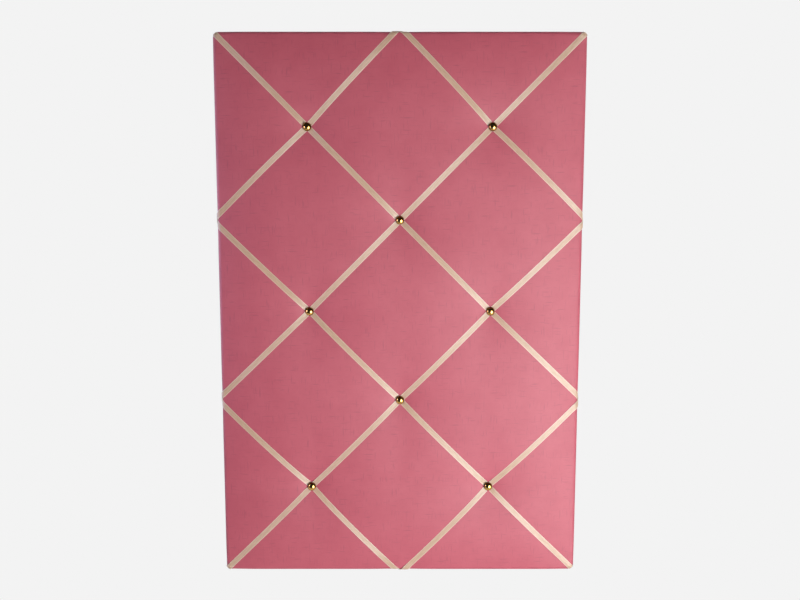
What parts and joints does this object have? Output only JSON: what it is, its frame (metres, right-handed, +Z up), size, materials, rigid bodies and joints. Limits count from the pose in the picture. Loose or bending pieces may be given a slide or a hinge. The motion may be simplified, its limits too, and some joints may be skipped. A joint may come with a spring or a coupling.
{
  "type": "french memo board",
  "caption": "Padded wall board covered in pink cotton, crossed by a diamond lattice of ivory satin ribbons that domed brass nails hold down, so that cards tuck behind them; D-rings on its back.",
  "frame": {"origin": "middle of the panel's bare back, which faces the wall", "axes": "+Z up along the board's long sides, +X to the right as seen from the front, +Y into the wall, so the padded face looks along -Y"},
  "size_m": [0.4024, 0.0278, 0.6024],
  "materials": {
    "fibreboard": "bare medium-density fibreboard",
    "wadding": "lofted polyester wadding",
    "pink_cotton": "matt plain-weave cotton",
    "ivory_satin": "satin ribbon with woven selvedges",
    "polished_brass": "polished",
    "zinc_steel": "bright zinc plate"
  },
  "bodies": {
    "board": {"panel": "fibreboard", "wadding": "wadding", "fabric_cover": "pink_cotton", "ribbon_falling_1": "ivory_satin", "ribbon_rising_1": "ivory_satin", "ribbon_falling_2": "ivory_satin", "ribbon_rising_2": "ivory_satin", "ribbon_falling_3": "ivory_satin", "ribbon_rising_3": "ivory_satin", "ribbon_falling_4": "ivory_satin", "ribbon_rising_4": "ivory_satin", "stud_1": "polished_brass", "stud_2": "polished_brass", "stud_3": "polished_brass", "stud_4": "polished_brass", "stud_5": "polished_brass", "stud_6": "polished_brass", "stud_7": "polished_brass", "stud_8": "polished_brass", "hanger_strap_left": "zinc_steel", "hanger_screw_left": "zinc_steel", "hanger_strap_right": "zinc_steel", "hanger_screw_right": "zinc_steel", "tail_staple_01": "zinc_steel", "tail_staple_02": "zinc_steel", "tail_staple_03": "zinc_steel", "tail_staple_04": "zinc_steel", "tail_staple_05": "zinc_steel", "tail_staple_06": "zinc_steel", "tail_staple_07": "zinc_steel", "tail_staple_08": "zinc_steel", "tail_staple_09": "zinc_steel", "tail_staple_10": "zinc_steel", "tail_staple_11": "zinc_steel", "tail_staple_12": "zinc_steel", "tail_staple_13": "zinc_steel", "tail_staple_14": "zinc_steel", "tail_staple_15": "zinc_steel", "tail_staple_16": "zinc_steel", "hem_staple_01": "zinc_steel", "hem_staple_02": "zinc_steel", "hem_staple_03": "zinc_steel", "hem_staple_04": "zinc_steel", "hem_staple_05": "zinc_steel", "hem_staple_06": "zinc_steel", "hem_staple_07": "zinc_steel", "hem_staple_08": "zinc_steel", "hem_staple_09": "zinc_steel", "hem_staple_10": "zinc_steel", "hem_staple_11": "zinc_steel", "hem_staple_12": "zinc_steel", "hem_staple_13": "zinc_steel", "hem_staple_14": "zinc_steel", "hem_staple_15": "zinc_steel", "hem_staple_16": "zinc_steel"},
    "left_ring": {"hanger_ring_left": "zinc_steel"},
    "right_ring": {"hanger_ring_right": "zinc_steel"}
  },
  "joints": [
    {"name": "left_ring_swing", "type": "hinge", "parent": "board", "child": "left_ring", "pos_m": [-0.13, 0.0026, 0.235], "axis": [1, 0, 0], "range_deg": [0, 180]},
    {"name": "right_ring_swing", "type": "hinge", "parent": "board", "child": "right_ring", "pos_m": [0.13, 0.0026, 0.235], "axis": [1, 0, 0], "range_deg": [0, 180]}
  ]
}
